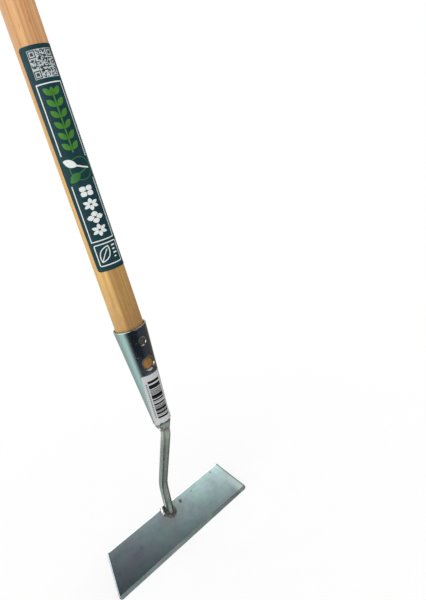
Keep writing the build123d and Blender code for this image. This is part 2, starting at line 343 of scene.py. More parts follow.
def rod_finish():
    """Zinc-plated rod: duller and greener, with draw lines, brown specks and a blue foot."""
    f = Finish("zinc_rod", Metallic=1.0)
    cloud = f.noise(f.place, 55.0, detail=5.0, rough=0.65)
    draw = f.noise(f.stretch(1500, 1500, 30))
    speck = f.span(f.noise(f.place, 420.0, detail=2.0), 0.66, 0.74)
    f.colour = f.ramp(cloud, (0.30, (0.40, 0.46, 0.41)), (0.55, (0.54, 0.60, 0.54)),
                      (0.75, (0.64, 0.70, 0.64)))
    f.shade(draw, 0.3, 0.7, 0.86, 1.08)
    f.cover(speck, 0.55, (0.22, 0.13, 0.07))
    # The rod is lighter towards its top.
    lighter_top = f.span(f.parts()[2], 0.138, 0.158)
    f.over(lighter_top, f.tint(f.colour, (1.35, 1.36, 1.30)))
    f.cover(f.near(on_blade(0.0, FOOT_UP), 22.0), 0.6, (0.60, 0.76, 0.72))
    rough = f.plus(f.span(cloud, 0.3, 0.7, 0.30, 0.19), f.span(draw, 0.5, 0.7, 0.0, 0.08))
    height = f.plus(f.times(draw, 0.6), cloud)
    return f.done(rough, height, 0.02, 0.4)


# The blade's stains: along and up the blade, size and depth of colour
STAINS = ((16.6, 39.8, 3.3, 0.9), (34.8, 40.5, 1.6, 0.6), (69.7, 43.0, 2.4, 0.4),
          (-51.0, 28.3, 3.4, 0.16))


def blade_finish():
    """Dull galvanised sheet: mottled grey-green, darker towards the ground edge and brighter
    towards the back, with a painted reflection that brightens it to the right, painted highlights
    along the back edge and beside the right side, heat tint round the weld, stains, fine
    scratches, a ground edge and dark sides."""
    f = Finish("galvanised_blade", Metallic=1.0)
    offset = f.vector("SUBTRACT", f.place, tuple(BLADE_EDGE * MM))

    def component(axis):
        return f.add("VectorMath", {0: offset, 1: tuple(axis)},
                     operation="DOT_PRODUCT").outputs[1]
    along, up = component(BLADE_ALONG), component(BLADE_UP)
    flat = f.join(along, up, component(BLADE_OUT))
    mottle = f.noise(flat, 46.0, detail=6.0, rough=0.62, bend=0.4)
    grain = f.parts(f.cells(flat, 260.0)[1])[0]
    cloud = f.noise(flat, 13.0)
    rolled = f.noise(f.stretch(60, 1800, 60, flat))
    shifted = f.vector("ADD", flat, (0.3, 0.1, 0))
    scratch_a = f.noise(f.stretch(90, 2600, 1, shifted), detail=1.0)
    scratch_b = f.noise(f.stretch(1700, 120, 1, flat), detail=1.0)
    dull = f.ramp(cloud, (0.30, (0.30, 0.37, 0.43)), (0.50, (0.35, 0.46, 0.49)),
                  (0.70, (0.35, 0.40, 0.46)))
    bright = f.ramp(cloud, (0.30, (0.50, 0.65, 0.66)), (0.50, (0.54, 0.73, 0.72)),
                    (0.72, (0.53, 0.69, 0.74)))
    # Painted reflection: the mix from dull on the left to bright on the right stands in for the
    # bright panel that the blade reflects.
    drift = f.plus(along, f.times(f.minus(cloud, 0.5), 0.08))
    f.colour = f.mix(f.span(drift, -0.075, 0.070), dull, bright)
    hue = f.noise(f.vector("ADD", flat, (0.7, 0.2, 0.4)), 52.0)
    tinge = f.ramp(hue, (0.34, (1.04, 0.95, 1.05)), (0.50, (1.0, 1.0, 1.0)),
                   (0.66, (0.94, 1.03, 0.98)))
    f.colour = f.tint(f.colour, tinge, 0.8)
    f.shade(up, 0.004, 0.044, 0.66, 1.28)
    f.shade(mottle, 0.32, 0.68, 0.82, 1.10)
    f.shade(grain, 0.0, 1.0, 0.955, 1.04)
    f.shade(rolled, 0.35, 0.65, 0.91, 1.08)
    foot = on_blade(0.0, FOOT_UP - 2.0)
    halo = f.calc("SUBTRACT", f.near(foot, 26.0), f.near(foot, 12.0), clamp=True)
    wander = f.noise(flat, 120.0, detail=4.0)
    heat = f.times(halo, f.span(wander, 0.34, 0.62, 0.3, 1.0))
    f.cover(heat, 0.75, (0.40, 0.31, 0.30))
    f.cover(f.near(foot, 13.0), 0.55, (0.33, 0.27, 0.23))
    ragged = f.times(f.minus(wander, 0.5), 0.004)
    ragged_place = f.vector("ADD", f.place, f.join(ragged, ragged, 0.0))
    for stain_along, stain_up, size, depth in STAINS:
        away = f.distance(on_blade(stain_along, stain_up), ragged_place)
        stain = f.span(away, size * 0.35 * MM, size * MM, depth, 0.0)
        f.over(stain, (0.14, 0.095, 0.070))
    dirt = f.span(f.noise(flat, 90.0, detail=6.0, rough=0.7), 0.60, 0.78)
    f.cover(dirt, 0.12, (0.25, 0.24, 0.22))
    # Painted highlight: a pale band near the back edge on the left, and a bright line on the back
    # edge itself.
    pale = f.times(f.span(up, 0.036, 0.0465), f.span(along, -0.02, 0.05, 0.40, 0.0))
    f.over(pale, (0.66, 0.76, 0.76))
    f.cover(f.span(up, 0.0450, 0.0460), 0.8, (0.80, 0.90, 0.88))
    # Painted highlight: a bright stripe beside the right side, fading towards the back.
    leaned = f.times(up, SIDE_SLANT)
    glint = f.times(f.span(f.plus(along, leaned), 0.084, 0.093),
                    f.span(up, 0.006, 0.042, 0.75, 0.0))
    f.over(glint, (0.78, 0.93, 0.90))
    side = f.span(f.plus(f.calc("ABSOLUTE", along), leaned), 0.0966, 0.0975)
    side = f.times(side, f.span(along, -0.05, 0.05, 0.35, 0.8))
    f.over(side, (0.16, 0.18, 0.18))
    ground = f.fall(up, 0.0042, 0.0047)
    f.over(ground, f.tint(f.colour, (1.55, 1.45, 1.36)))
    rough = f.plus(f.span(mottle, 0.3, 0.7, 0.33, 0.29), f.span(scratch_a, 0.62, 0.72, 0.0, -0.02))
    rough = f.plus(rough, f.span(scratch_b, 0.66, 0.74, 0.0, -0.02))
    rough = f.plus(rough, f.times(ground, -0.04))
    height = f.plus(f.plus(mottle, f.times(rolled, 0.35)), f.times(grain, 0.12))
    return f.done(rough, height, 0.018, 0.3)


def weld_finish():
    """Weld bead under zinc: grey and brown, with painted shade in the crevice beside the rod's
    foot.
    """
    f = Finish("zinc_weld", Metallic=1.0)
    cloud = f.noise(f.place, 210.0, detail=5.0, rough=0.6)
    fine = f.noise(f.place, 1300.0)
    f.colour = f.ramp(cloud, (0.32, (0.36, 0.33, 0.30)), (0.50, (0.50, 0.49, 0.46)),
                      (0.70, (0.72, 0.74, 0.71)))
    f.shade(fine, 0.3, 0.7, 0.85, 1.08)
    # Painted shade: a dark patch in the crevice beside the rod's foot.
    crevice = f.span(f.near(on_blade(0.0, FOOT_UP, 2.0), 12.0), 0.18, 0.42, 0.0, 0.8)
    f.over(crevice, (0.10, 0.11, 0.10))
    rough = f.span(cloud, 0.3, 0.7, 0.42, 0.26)
    height = f.plus(cloud, f.times(fine, 0.3))
    return f.done(rough, height, 0.08, 0.6)


def screw_finish():
    f = Finish("screw_zinc", Metallic=1.0)
    cloud = f.noise(f.place, 300.0, detail=4.0)
    fine = f.noise(f.place, 2400.0, detail=2.0)
    f.colour = f.ramp(cloud, (0.3, (0.46, 0.36, 0.34)), (0.7, (0.72, 0.62, 0.58)))
    f.shade(fine, 0.3, 0.7, 0.85, 1.05)
    rough = f.span(cloud, 0.3, 0.7, 0.34, 0.22)
    return f.done(rough, fine, 0.03, 0.5)


def paper_finish(name, colour, spread, rough, coat, ior):
    """Printed or plain coated paper: slight mottle, rubbed patches and a fine tooth."""
    f = Finish(name, IOR=ior, Coat_Weight=coat, Coat_Roughness=0.25)
    mottle = f.noise(f.place, 90.0, detail=5.0, rough=0.6)
    tooth = f.noise(f.place, 2200.0, detail=2.0)
    rubbed = f.span(f.noise(f.stretch(260, 260, 70), detail=5.0, rough=0.75), 0.64, 0.80)
    low = tuple(c * (1 - spread) for c in colour)
    high = tuple(min(c * (1 + spread), 1.0) for c in colour)
    f.colour = f.ramp(mottle, (0.3, low), (0.7, high))
    f.cover(rubbed, 0.10, (0.55, 0.56, 0.55))
    gloss = f.plus(f.span(mottle, 0.3, 0.7, rough + 0.05, rough - 0.05), f.times(rubbed, 0.12))
    height = f.plus(tooth, f.times(mottle, 1.4))
    return f.done(gloss, height, 0.02, 0.5)


def floor_finish():
    """Pale studio floor that fades to plain white away from the object."""
    f = Finish("studio_floor", Roughness=0.9)
    speckle = f.noise(f.place, 30.0)
    f.set(Base_Color=f.ramp(speckle, (0.3, (0.92, 0.92, 0.92)), (0.7, (0.95, 0.95, 0.95))))
    glow = f.add("Emission", {0: (1, 1, 1, 1), 1: 1.0}).outputs[0]
    share = f.span(f.distance((0.0, -30.0, 0.0)), 0.05, 0.50, 0.70, 1.0)
    mixed = f.add("MixShader", {0: share, 1: f.shader.outputs[0], 2: glow}).outputs[0]
    f.put(f.tree.nodes["Material Output"].inputs["Surface"], mixed)
    return f.material


finish = {
    "shaft": handle_wood(), "grip": grip_wood(), "wedge": wedge_wood(), "zinc": zinc_finish(),
    "rod": rod_finish(), "blade": blade_finish(), "weld": weld_finish(), "screw": screw_finish(),
}
for name, *look in (
        ("label_stock", (0.0045, 0.034, 0.042), 0.22, 0.52, 0.0, 1.3),
        ("print_white", (0.66, 0.70, 0.68), 0.06, 0.42, 0.0, 1.45),
        ("code_ground", (0.46, 0.50, 0.50), 0.06, 0.42, 0.0, 1.45),
        ("print_green", (0.045, 0.185, 0.014), 0.15, 0.42, 0.0, 1.45),
        ("print_deep_green", (0.026, 0.135, 0.026), 0.15, 0.42, 0.0, 1.45),
        ("print_dark", (0.012, 0.026, 0.034), 0.2, 0.42, 0.0, 1.45),
        ("sticker_stock", (0.49, 0.50, 0.50), 0.06, 0.40, 0.8, 1.45),
        ("sticker_ink", (0.009, 0.010, 0.012), 0.25, 0.6, 0.0, 1.12),
        ("sticker_faint_ink", (0.13, 0.14, 0.16), 0.15, 0.5, 0.0, 1.2)):
    finish[name] = paper_finish(name, *look)
for node, look in {
        "shaft": "shaft", "t_grip": "grip", "tenon_wedge": "wedge", "neck_rod": "rod",
        "blade": "blade", "blade_weld": "weld", "socket_weld": "weld", "socket_screw": "screw",
        "socket": "zinc", "handle_label": "label_stock",
        "barcode_sticker": "sticker_stock"}.items():
    nodes[node].material_slots[0].material = finish[look]


# ---------------------------------------------------------------- pieces


def add_object(name, data):
    made = bpy.data.objects.new(name, data)
    scene.collection.objects.link(made)
    return made


def add_piece(name, points, faces, look, slot, replaces, sharp):
    """A smooth-shaded mesh from points in millimetres, riding on the object's one body."""
    mesh = bpy.data.meshes.new(name)
    mesh.from_pydata([Vector(point) * MM for point in points], [], faces)
    mesh.validate()
    mesh.shade_smooth()
    mesh.set_sharp_from_angle(angle=radians(sharp))
    mesh.materials.append(finish[look])
    piece = add_object(name, mesh)
    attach(piece, "root")
    if replaces:
        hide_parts(*replaces)


def closed_loft(rings):
    """Points and quads of a surface through closed rings, the last joined to the first."""
    count = len(rings[0])
    points = [point for ring in rings for point in ring]
    faces = []
    for i in range(len(rings)):
        first, second = i * count, (i + 1) % len(rings) * count
        for j in range(count):
            k = (j + 1) % count
            faces.append((first + j, first + k, second + k, second + j))
    return points, faces


# Socket: a rolled sheet cone with a butt seam at the rear, a punched window and a creased nose


def outer_radius(depth):
    return RIM_RADIUS - TAPER * depth


def nose_arc(steps):
    """(radius, depth) points of the nose's rounding, from the cone's end to the rod."""
    start = Vector((outer_radius(NOSE_DEPTH), NOSE_DEPTH))
    chord = Vector((NOSE_RADIUS, SOCKET_LENGTH)) - start
    side = Vector((-TAPER, 1.0)).normalized()
    half = side.angle(chord)
    bend = chord.length / (2 * sin(half))
    inward = Vector((-1.0, -TAPER)).normalized()
    centre = start + inward * bend
    turns = [2 * half * step / steps for step in range(1, steps + 1)]
    return [centre - inward * bend * cos(turn) + side * bend * sin(turn) for turn in turns]


def skin_radius(depth):
    """The outside's radius at a depth, on the cone or on the nose's rounding."""
    if depth <= NOSE_DEPTH:
        return outer_radius(depth)
    points = [Vector((outer_radius(NOSE_DEPTH), NOSE_DEPTH))] + nose_arc(12)
    for (above, high), (below, low) in zip(points, points[1:]):
        if depth <= low:
            return blend(above, below, (depth - high) / (low - high))
    return NOSE_RADIUS


def socket_skin(angle, radius, depth):
    """A point of the sheet, with the seam, the wobble of rolled sheet and the nose's creases."""
    seam_sink, seam_half_angle, wobble, wobble_length = 0.75, 1.3, 0.05, 22.0
    crease_sink, lump, rim_depth, rim_wave = 1.0, 0.4, 8.0, 0.35
    turn = radians(angle)
    behind = abs(abs(angle) - 180.0)
    radius -= seam_sink * (1 - smooth(0.0, seam_half_angle, behind))
    radius += wobble * ripple(sin(turn) * 2.2, cos(turn) * 2.2, depth / wobble_length)
    fold = smooth(96.0, 107.0, depth)
    if fold > 0:
        crease = abs(sin(2.5 * turn + 0.9 + 0.5 * sin(turn))) ** 0.6
        radius -= fold * crease_sink * (1 - crease)
        radius += fold * lump * ripple(angle / 20.0, depth / 3.0, 4.0)
    z = RIM_Z - depth
    if depth < rim_depth:
        z += rim_wave * (1 - depth / rim_depth) * sin(turn + 0.6)
    return around(angle, radius, z)


# Openings in the sheet: depth, half-width and half-height of the mouth, the same of its inner end,
# and the patch of sheet that it is cut from, as half its angle and its first and last row
WINDOW = (WINDOW_DEPTH, (7.1, 7.2), (6.2, 5.9), (45.0, 28.0, 48.0))
SCREW_HOLE = (14.2, (4.2, 4.3), (3.0, 2.9), (31.5, 6.0, 22.0))


def opening_rings(opening, outer_loop, inner_loop, points):
    """Rings of point indices from the sheet's outside, down an opening's bevel, to its inside."""
    middle, mouth, inner_end = opening[:3]
    under_sheet = SHEET + 0.3
    rings = [[index for index, _, _ in outer_loop]]
    spots = []
    for _, angle, depth in outer_loop:
        x = outer_radius(middle) * sin(radians(angle))
        spots.append((x, depth - middle, atan2(depth - middle, x)))

    def on_sheet(across, down, sink):
        radius = outer_radius(middle + down) - sink
        y = SHAFT_Y - sqrt(radius * radius - across * across)
        return Vector((across, y, RIM_Z - middle - down))

    def reach(size, turn):
        return sqrt((size[0] * cos(turn)) ** 2 + (size[1] * sin(turn)) ** 2)

    def add_ring(place):
        rings.append(list(range(len(points), len(points) + len(spots))))
        points.extend(place(*spot) for spot in spots)

    def flat_ring(size, widen, sink, share):
        def place(x, down, turn):
            out = reach(size, turn) + widen
            x, down = blend(x, out * cos(turn), share), blend(down, out * sin(turn), share)
            return on_sheet(x, down, sink)
        add_ring(place)

    def bevel_ring(share):
        def place(_, __, turn):
            top, low = reach(mouth, turn), reach(inner_end, turn)
            start = on_sheet(top * cos(turn), top * sin(turn), 0.05)
            return start.lerp(on_sheet(low * cos(turn), low * sin(turn), under_sheet), share)
        add_ring(place)
    for share in (0.25, 0.5, 0.7, 0.85, 0.95, 1.0):
        flat_ring(mouth, 0.15, 0.0, share)
    for share in (0.0, 0.12, 0.35, 0.6, 0.8, 1.0):
        bevel_ring(share)
    for share in (0.6, 0.3):
        flat_ring(inner_end, 0.0, under_sheet, share)
    rings.append([index for index, _, _ in inner_loop])
    return rings


def socket_shell():
    step = 2.25
    columns = [-180.0, -178.7] + [-177.75 + step * i for i in range(159)] + [178.7]
    depths = [0.6, 1.0, 1.6, 3.0, 4.5] + [6.0 + i for i in range(17)] + [24.0, 26.0]
    depths += [28.0 + i for i in range(21)] + [50.0 + 2.5 * i for i in range(19)]
    depths += [96.5, 98.0, 99.5, 101.0, 102.0, 103.0]
    outer = [(outer_radius(d), d) for d in depths] + [tuple(p) for p in nose_arc(10)]
    seat = [(5.2, 112.6), (5.2, 106.0)]
    inner_depths = [100.0, 90.0, 80.0, 70.0, 60.0, 52.0] + [d for d in depths[::-1] if d < 49.0]
    inner = [(outer_radius(d) - SHEET, d) for d in inner_depths]
    lip_turns = [radians(degree) for degree in range(20, 180, 20)]
    lip = [(outer_radius(0) - SHEET / 2 - 0.75 * cos(turn), -0.02 + 0.6 * (1 - sin(turn)))
           for turn in lip_turns]
    profile = outer + seat + inner + lip
    count = len(columns)
    points = [socket_skin(angle, radius, depth) for radius, depth in profile for angle in columns]

    def inner_row(depth):
        return len(outer) + len(seat) + inner_depths.index(depth)

    def at(row, column):
        return row * count + column % count

    def patch(opening):
        """An opening's first and last column, and first and last depth."""
        half_angle, top, bottom = opening[3]
        return columns.index(-half_angle), columns.index(half_angle), top, bottom
    cuts = []
    for opening in (WINDOW, SCREW_HOLE):
        left, right, top, bottom = patch(opening)
        cuts.append((left, right, depths.index(top), depths.index(bottom)))
        cuts.append((left, right, inner_row(bottom), inner_row(top)))
    faces = []
    for row in range(len(profile)):
        below = (row + 1) % len(profile)
        for i in range(count):
            if not any(left <= i < right and first <= row < last
                       for left, right, first, last in cuts):
                faces.append((at(row, i), at(row, i + 1), at(below, i + 1), at(below, i)))

    def edge_loop(opening, row_of):
        """A patch's boundary, as (point index, angle, depth), starting at its top left."""
        left, right, top, bottom = patch(opening)
        rows = [top + i for i in range(int(bottom - top) + 1)]
        corners = [(c, rows[0]) for c in range(left, right)] + [(right, d) for d in rows[:-1]]
        corners += [(c, rows[-1]) for c in range(right, left, -1)]
        corners += [(left, d) for d in rows[:0:-1]]
        return [(at(row_of(d), c), columns[c], d) for c, d in corners]
    for opening in (WINDOW, SCREW_HOLE):
        loops = edge_loop(opening, depths.index), edge_loop(opening, inner_row)
        rings = opening_rings(opening, *loops, points)
        for first, second in zip(rings, rings[1:]):
            for j in range(len(first)):
                k = (j + 1) % len(first)
                faces.append((first[j], second[j], second[k], first[k]))
    add_piece("socket_shell", points, faces, "zinc", "zinc_steel", ("socket",), 40.0)


socket_shell()


# Welds: rippled beads round the rod's foot and under the socket's nose


def foot_bead():
    """A thin ripple in front of the rod, and a lump behind its left with a crevice beside it."""
    steps, section, lump_at, sunk = 144, 11, radians(150), -0.4
    rings = []
    for i in range(steps):
        turn = tau * i / steps
        lump = smooth(0.40, 0.92, cos(turn - lump_at))
        front = smooth(-0.1, 0.9, -sin(turn)) * (1 - lump)
        scallop = abs(sin(turn * 8 + 1.2 * sin(turn))) ** 0.7
        uneven = ripple(3 * cos(turn), 3 * sin(turn), 1.7)
        leg = 1.35 + 0.45 * scallop + 0.35 * uneven + 4.3 * lump + 1.9 * front
        rise = 1.1 + 0.35 * scallop + 0.3 * uneven + 0.9 * front

        def ring_point(wide, middle, past_back, out, wide_up=None):
            reach_up = ROD_RADIUS * FOOT_STRETCH + (wide if wide_up is None else wide_up)
            up = min(middle + reach_up * sin(turn), BLADE_DEPTH + past_back)
            return on_blade((ROD_RADIUS + wide) * cos(turn), up, out)
        ring = []
        for k in range(section):
            share = k / (section - 1)
            hump = sin(pi * min(share * 1.12, 1.0)) ** 0.8
            out = rise * share ** 0.9 + (3.0 * lump + 0.5 * front) * hump
            bulge = 0.25 * sin(share * pi) * (0.6 + scallop)
            wide = leg * (1 - share) ** 0.8 + bulge
            middle = FOOT_UP + FOOT_LEAN * out * (1 - 0.7 * lump)
            ring.append(ring_point(wide, middle, 0.3 + 0.6 * lump, out + bulge * 0.5 - 0.05))
        for out in (rise, sunk):
            ring.append(ring_point(-0.6, FOOT_UP + FOOT_LEAN * out, -0.6, out, -0.8))
        ring.append(ring_point(leg * 0.6, FOOT_UP, -0.8, sunk))
        rings.append(ring)
    add_piece("foot_weld_bead", *closed_loft(rings), "weld", "weld_steel", ("blade_weld",), 60.0)


def nose_bead():
    steps, section, nose_end = 96, 8, RIM_Z - SOCKET_LENGTH
    outside, rod, hidden, overlap = 6.75, 5.02, 4.6, 0.4
    rings = []
    for i in range(steps):
        angle = 360.0 * i / steps
        turn = radians(angle)
        scallop = abs(sin(turn * 7 + sin(turn))) ** 0.7
        length = 2.4 + 1.0 * scallop + 1.2 * ripple(2 * cos(turn), 2 * sin(turn), 5.0)
        ring = []
        for k in range(section):
            share = k / (section - 1)
            radius = blend(outside, rod, share ** 0.8) + 0.25 * sin(share * pi) * scallop
            ring.append(around(angle, radius, nose_end + overlap - (length + overlap) * share))
        ring.append(around(angle, hidden, nose_end - length))
        ring.append(around(angle, hidden, nose_end + 1.2))
        rings.append(ring)
    add_piece("nose_weld_bead", *closed_loft(rings), "weld", "weld_steel", ("socket_weld",), 60.0)


foot_bead()
nose_bead()


# Paper: sheets cut to a lattice of arc length and height, wrapped round the wood or the socket


class Wrap:
    """A surface of revolution that flat artwork is wrapped onto. Artwork is in millimetres of arc
    from the front and of height, and steps are its lattice's in both."""

    def __init__(self, slot, radius_at, lift, *steps):
        self.slot, self.radius_at, self.lift, self.steps = slot, radius_at, lift, steps

    def place(self, across, z, out):
        radius = self.radius_at(z)
        return around(degrees(across / radius), radius + out + self.lift(across, z), z)

    def sheet(self, name, outlines, out, thickness, look, *replaces):
        """A closed thin piece from flat outlines, each a list of (arc, z) corners."""
        flat = bmesh.new()
        for outline in outlines:
            flat.faces.new([flat.verts.new((across, z, 0.0)) for across, z in outline])
        bmesh.ops.triangulate(flat, faces=flat.faces[:])
        for axis, step in enumerate(self.steps):
            values = [v.co[axis] for v in flat.verts]
            normal = ((1, 0, 0), (0, 1, 0))[axis]
            line = step * (int(min(values) // step) + 1)
            while line < max(values):
                bmesh.ops.bisect_plane(
                    flat, geom=flat.verts[:] + flat.edges[:] + flat.faces[:], dist=1e-5,
                    plane_co=tuple(line * n for n in normal), plane_no=normal)
                line += step
        flat.normal_update()
        for face in flat.faces:
            if face.normal.z < 0:
                face.normal_flip()
        top = [vert.co.copy() for vert in flat.verts]
        flat.verts.index_update()
        faces = [[vert.index for vert in face.verts] for face in flat.faces]
        count = len(top)
        sides = []
        for loop in [edge.link_loops[0] for edge in flat.edges if len(edge.link_loops) == 1]:
            a, b = loop.vert.index, loop.link_loop_next.vert.index
            sides.append((b, a, a + count, b + count))
        under = [[index + count for index in reversed(face)] for face in faces]
        flat.free()
        points = [self.place(co.x, co.y, out) for co in top]
        points += [self.place(co.x, co.y, out - thickness) for co in top]
        add_piece(name, points, faces + under + sides, look, self.slot, replaces, 50.0)


def rounded(left, right, bottom, top, corner):
    """A rectangle's outline with rounded corners."""
    steps = 6
    outline = []
    inner_left, inner_right = left + corner, right - corner
    low, high = bottom + corner, top - corner
    for cx, cy, start in ((inner_right, high, 0), (inner_left, high, 90),
                          (inner_left, low, 180), (inner_right, low, 270)):
        for i in range(steps + 1):
            turn = radians(start + 90 * i / steps)
            outline.append((cx + corner * cos(turn), cy + corner * sin(turn)))
    return outline


def box(left, right, bottom, top):
    return [(left, bottom), (right, bottom), (right, top), (left, top)]


def stroke(points, width, closed=False):
    """Quads of a line of even width through points, with mitred corners."""
    path = [Vector(point) for point in points]
    if closed:
        path.append(path[0])
    sides = [Vector((a.y - b.y, b.x - a.x)).normalized() for a, b in zip(path, path[1:])]
    before = [sides[-1 if closed else 0]] + sides
    after = sides + [sides[0 if closed else -1]]
    edges = []
    for point, first, second in zip(path, before, after):
        normal = first if first is second else (first + second).normalized()
        offset = normal * (width / 2 / max(normal.dot(first), 0.35))
        edges.append((tuple(point - offset), tuple(point + offset)))
    return [[a, c, d, b] for (a, b), (c, d) in zip(edges, edges[1:])]


def circle(cx, cy, radius, count=48):
    turns = [tau * i / count for i in range(count)]
    return [(cx + radius * cos(turn), cy + radius * sin(turn)) for turn in turns]


def leaf(x0, y0, x1, y1, width):
    """A pointed leaf's outline between two tips."""
    steps = 8
    start, end = Vector((x0, y0)), Vector((x1, y1))
    side = Vector((-(end - start).y, (end - start).x)).normalized() * width / 2

    def half(rows, sign):
        return [start.lerp(end, i / steps) + sign * (side * sin(pi * i / steps) ** 0.8)
                for i in rows]
    outline = half(range(steps + 1), 1) + half(range(steps - 1, 0, -1), -1)
    return [tuple(point) for point in outline]


LABEL_RADIUS = SHAFT_RADIUS + 0.15
LABEL_LOW, LABEL_HIGH = RIM_Z + 60.0, RIM_Z + 250.0


def arc(angle):
    """Arc length on the label at an angle from the front."""
    return radians(angle) * LABEL_RADIUS


def label_lift(across, z):
    """The label's slight unevenness over the wood, and its edges standing a little proud."""
    bubble = max(ripple(across / 9.0, z / 26.0, 2.0) - 0.15, 0.0)
    edge = min(across - arc(-79), z - LABEL_LOW, LABEL_HIGH - z)
    return 0.12 * bubble + 0.10 * (1 - smooth(0.0, 3.0, edge))


label = Wrap("label_paper", lambda z: LABEL_RADIUS, label_lift, 1.0, 2.0)


def label_outline():
    """A sheet whose left end was stuck on a little askew."""
    outline = rounded(arc(-77), arc(206), LABEL_LOW, LABEL_HIGH, 3.0)
    skew = (arc(-80) - arc(-74)) / (LABEL_HIGH - LABEL_LOW)
    middle = (LABEL_HIGH + LABEL_LOW) / 2
    return [(x + skew * (z - middle) * (1 - smooth(arc(-77), arc(0), x)), z) for x, z in outline]


label.sheet("label_sheet", [label_outline()], 0.0, 0.13, "label_stock",
            "handle_label")

# The artwork's heights are above the socket's rim


def line_of(*corners):
    """Points of a line from (angle, height) corners."""
    return [(arc(angle), RIM_Z + height) for angle, height in corners]


def emblem_shapes():
    """A sprout in a ring: a white and a green leaf on forked stems."""
    cx, cz = arc(-5.0), RIM_Z + 150.5

    def twig(tips, points, width):
        stem = [(cx + x, cz + z) for x, z in points]
        x0, z0, x1, z1, leaf_width = tips
        return [leaf(cx + x0, cz + z0, cx + x1, cz + z1, leaf_width)] + stroke(stem, width)
    ring = stroke(circle(cx, cz, 9.6), 0.8, closed=True)
    white = twig((-13.5, 9.0, -2.5, 2.6, 6.4), ((-3.5, 3.2), (2.5, 0.8), (7.5, -0.6)), 1.3)
    green = twig((-13.0, -9.5, -2.0, -3.2, 6.8), ((-3.0, -3.8), (2.0, -1.6), (4.5, -0.9)), 1.2)
    return ring, white, green


def code_modules():
    """A square of random cells with three nested squares: it holds no data."""
    cells, size, border = 25, 21.0, 0.4
    left, low = arc(-8.0) - size / 2, RIM_Z + 225.0
    unit = size / cells
    draw = random.Random(11)
    filled = [[draw.random() < 0.52 for _ in range(cells)] for _ in range(cells)]
    for middle_i, middle_j in ((3, 3), (3, cells - 4), (cells - 4, cells - 4)):
        for i in range(cells):
            for j in range(cells):
                ring = max(abs(i - middle_i), abs(j - middle_j))
                if ring <= 4:
                    filled[i][j] = ring in (0, 1, 3)
    shapes = []
    for j in range(cells):
        row = [False] + [column[j] for column in filled] + [False]
        ends = [i for i in range(cells + 1) if row[i] != row[i + 1]]
        for start, end in zip(ends[::2], ends[1::2]):
            shapes.append(box(left + start * unit, left + end * unit,
                              low + j * unit, low + (j + 1) * unit))
    ground = box(left - border, left + size + border, low - border, low + size + border)
    return ground, shapes


def sprig_shapes(low, high, pairs):
    """A stem with pairs of leaves, up a band of the label."""
    middle, half = arc(-13.5), arc(15.0) - arc(-13.5)
    step = (high - low) / pairs
    shapes = stroke([(middle, RIM_Z + low), (middle, RIM_Z + high - step * 0.5)], 1.3)
    for i in range(pairs):
        foot = RIM_Z + low + step * i
        for side in (-1, 1):
            shapes.append(leaf(middle + side * 0.9, foot + step * 0.25,
                               middle + side * half, foot + step * 0.98, 4.6))
    shapes.append(leaf(middle, RIM_Z + high - step * 0.55, middle, RIM_Z + high, 3.4))
    return shapes


def rosette_shapes(low, high, first_turn, petals, fullness):
    """Petals round the middle of a band of the label, drawn in a unit square."""
    left, right = arc(-43.0), arc(15.0)
    shapes = []
    for i in range(petals):
        turn = radians(first_turn + 360.0 * i / petals)
        dx, dy = cos(turn), sin(turn)
        petal = leaf(0.5 + 0.06 * dx, 0.5 + 0.06 * dy, 0.5 + 0.52 * dx, 0.5 + 0.50 * dy, fullness)
        shapes.append([(left + x * (right - left), RIM_Z + low + y * (high - low))
                       for x, y in petal])
    return shapes


def label_artwork():
    ring, sprout_white, sprout_green = emblem_shapes()
    ground, modules = code_modules()
    line, left, right = 0.95, -58.5, 33.0
    low, high, gap_low, gap_high = 87.6, 220.6, 138.0, 163.5
    white = stroke(line_of((left, gap_low), (left, low), (right, low), (right, gap_low + 3)), line)
    white += stroke(line_of((left, gap_high), (left, high), (right, high), (right, gap_high - 4)),
                    line)
    badge_frame = rounded(arc(-55), arc(36), RIM_Z + 65.0, RIM_Z + 84.2, 1.5)
    white += stroke(badge_frame, line, closed=True)
    badge = leaf(arc(-42), RIM_Z + 68.5, arc(-6), RIM_Z + 81.5, 8.5)
    white += stroke(badge, 0.9, closed=True)
    white += stroke(line_of((-40, 69.2), (-26, 74.6), (-12, 79.2)), 0.8)
    for height, reach in ((80.0, 24), (76.6, 20), (73.2, 24), (69.8, 16)):
        white.append(box(arc(8), arc(reach), RIM_Z + height, RIM_Z + height + 1.3))
    ticks, first_tick, tick_step, tick = 74, 90.0, 1.7, 0.85
    for i in range(ticks):
        z = RIM_Z + first_tick + tick_step * i
        white.append(box(arc(44.5), arc(49.5), z, z + tick))
    for band in ((126.0, 137.0, 45, 4, 0.42), (114.4, 125.2, 90, 6, 0.26),
                 (103.0, 113.6, 0, 4, 0.42), (91.2, 102.4, 30, 6, 0.26)):
        white += rosette_shapes(*band)
    green = sprig_shapes(164.5, 217.5, 6)
    for name, shapes, out, thickness, look in (
            ("label_print_white", white + sprout_white, 0.045, 0.055, "print_white"),
            ("label_code_ground", [ground], 0.045, 0.055, "code_ground"),
            ("label_print_green", green, 0.045, 0.055, "print_green"),
            ("label_print_deep", ring + sprout_green, 0.03, 0.04, "print_deep_green"),
            ("label_print_code", modules, 0.075, 0.05, "print_dark")):
        label.sheet(name, shapes, out, thickness, look)


label_artwork()


def sticker_lift(across, z):
    """Small wrinkles, most of them where the sticker runs over the nose."""
    depth = RIM_Z - z
    crumple = smooth(94.0, 102.0, depth)
    wrinkle = 0.03 * ripple(across / 5.0, depth / 9.0, 3.0)
    waver = 0.6 * ripple(across / 3.0, depth / 4.0, 6.0)
    fold = abs(sin(0.75 * across + 0.35 * depth + waver)) ** 0.5
    return wrinkle + crumple * (1.0 * fold - 0.35)


